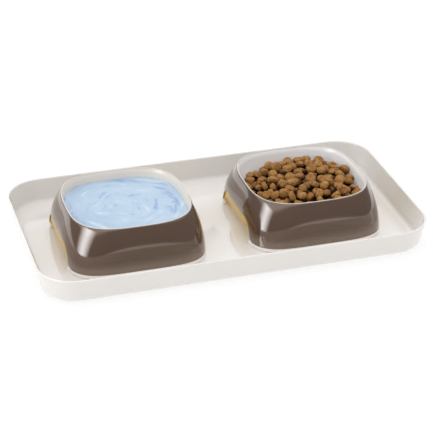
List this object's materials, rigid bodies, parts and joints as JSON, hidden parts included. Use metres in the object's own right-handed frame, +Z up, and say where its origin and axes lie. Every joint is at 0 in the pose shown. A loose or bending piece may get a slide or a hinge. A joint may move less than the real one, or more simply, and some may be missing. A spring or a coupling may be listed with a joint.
{
  "type": "double pet bowl",
  "caption": "Shallow rectangular tray with flared walls that holds square, double-walled feeding bowls side by side; each bowl lifts out by arched finger grips.",
  "frame": {"origin": "middle of the tray, on the surface that its feet stand on", "axes": "+X along the tray, from the left bowl to the right bowl; +Y to the back; +Z up"},
  "size_m": [0.42, 0.23, 0.0542],
  "materials": {
    "tray_plastic": "glossy ivory moulded plastic",
    "dish_plastic": "glossy off-white moulded plastic",
    "skirt_plastic": "glossy, slightly translucent warm cream moulded plastic",
    "cover_plastic": "glossy taupe moulded plastic",
    "foot_rubber": "matt grey non-slip rubber"
  },
  "bodies": {
    "tray": {"tray": "tray_plastic", "tray_foot_front_left": "foot_rubber", "tray_foot_front_right": "foot_rubber", "tray_foot_back_left": "foot_rubber", "tray_foot_back_right": "foot_rubber"},
    "left_bowl": {"left_bowl_dish": "dish_plastic", "left_bowl_skirt": "skirt_plastic", "left_bowl_cover": "cover_plastic", "left_bowl_foot_front_left": "foot_rubber", "left_bowl_foot_front_right": "foot_rubber", "left_bowl_foot_back_left": "foot_rubber", "left_bowl_foot_back_right": "foot_rubber"},
    "right_bowl": {"right_bowl_dish": "dish_plastic", "right_bowl_skirt": "skirt_plastic", "right_bowl_cover": "cover_plastic", "right_bowl_foot_front_left": "foot_rubber", "right_bowl_foot_front_right": "foot_rubber", "right_bowl_foot_back_left": "foot_rubber", "right_bowl_foot_back_right": "foot_rubber"}
  },
  "joints": [
    {"name": "left_bowl_lift", "type": "slide", "parent": "tray", "child": "left_bowl", "axis": [0, 0, 1], "range_m": [0, 0.08]},
    {"name": "right_bowl_lift", "type": "slide", "parent": "tray", "child": "right_bowl", "axis": [0, 0, 1], "range_m": [0, 0.08]}
  ]
}
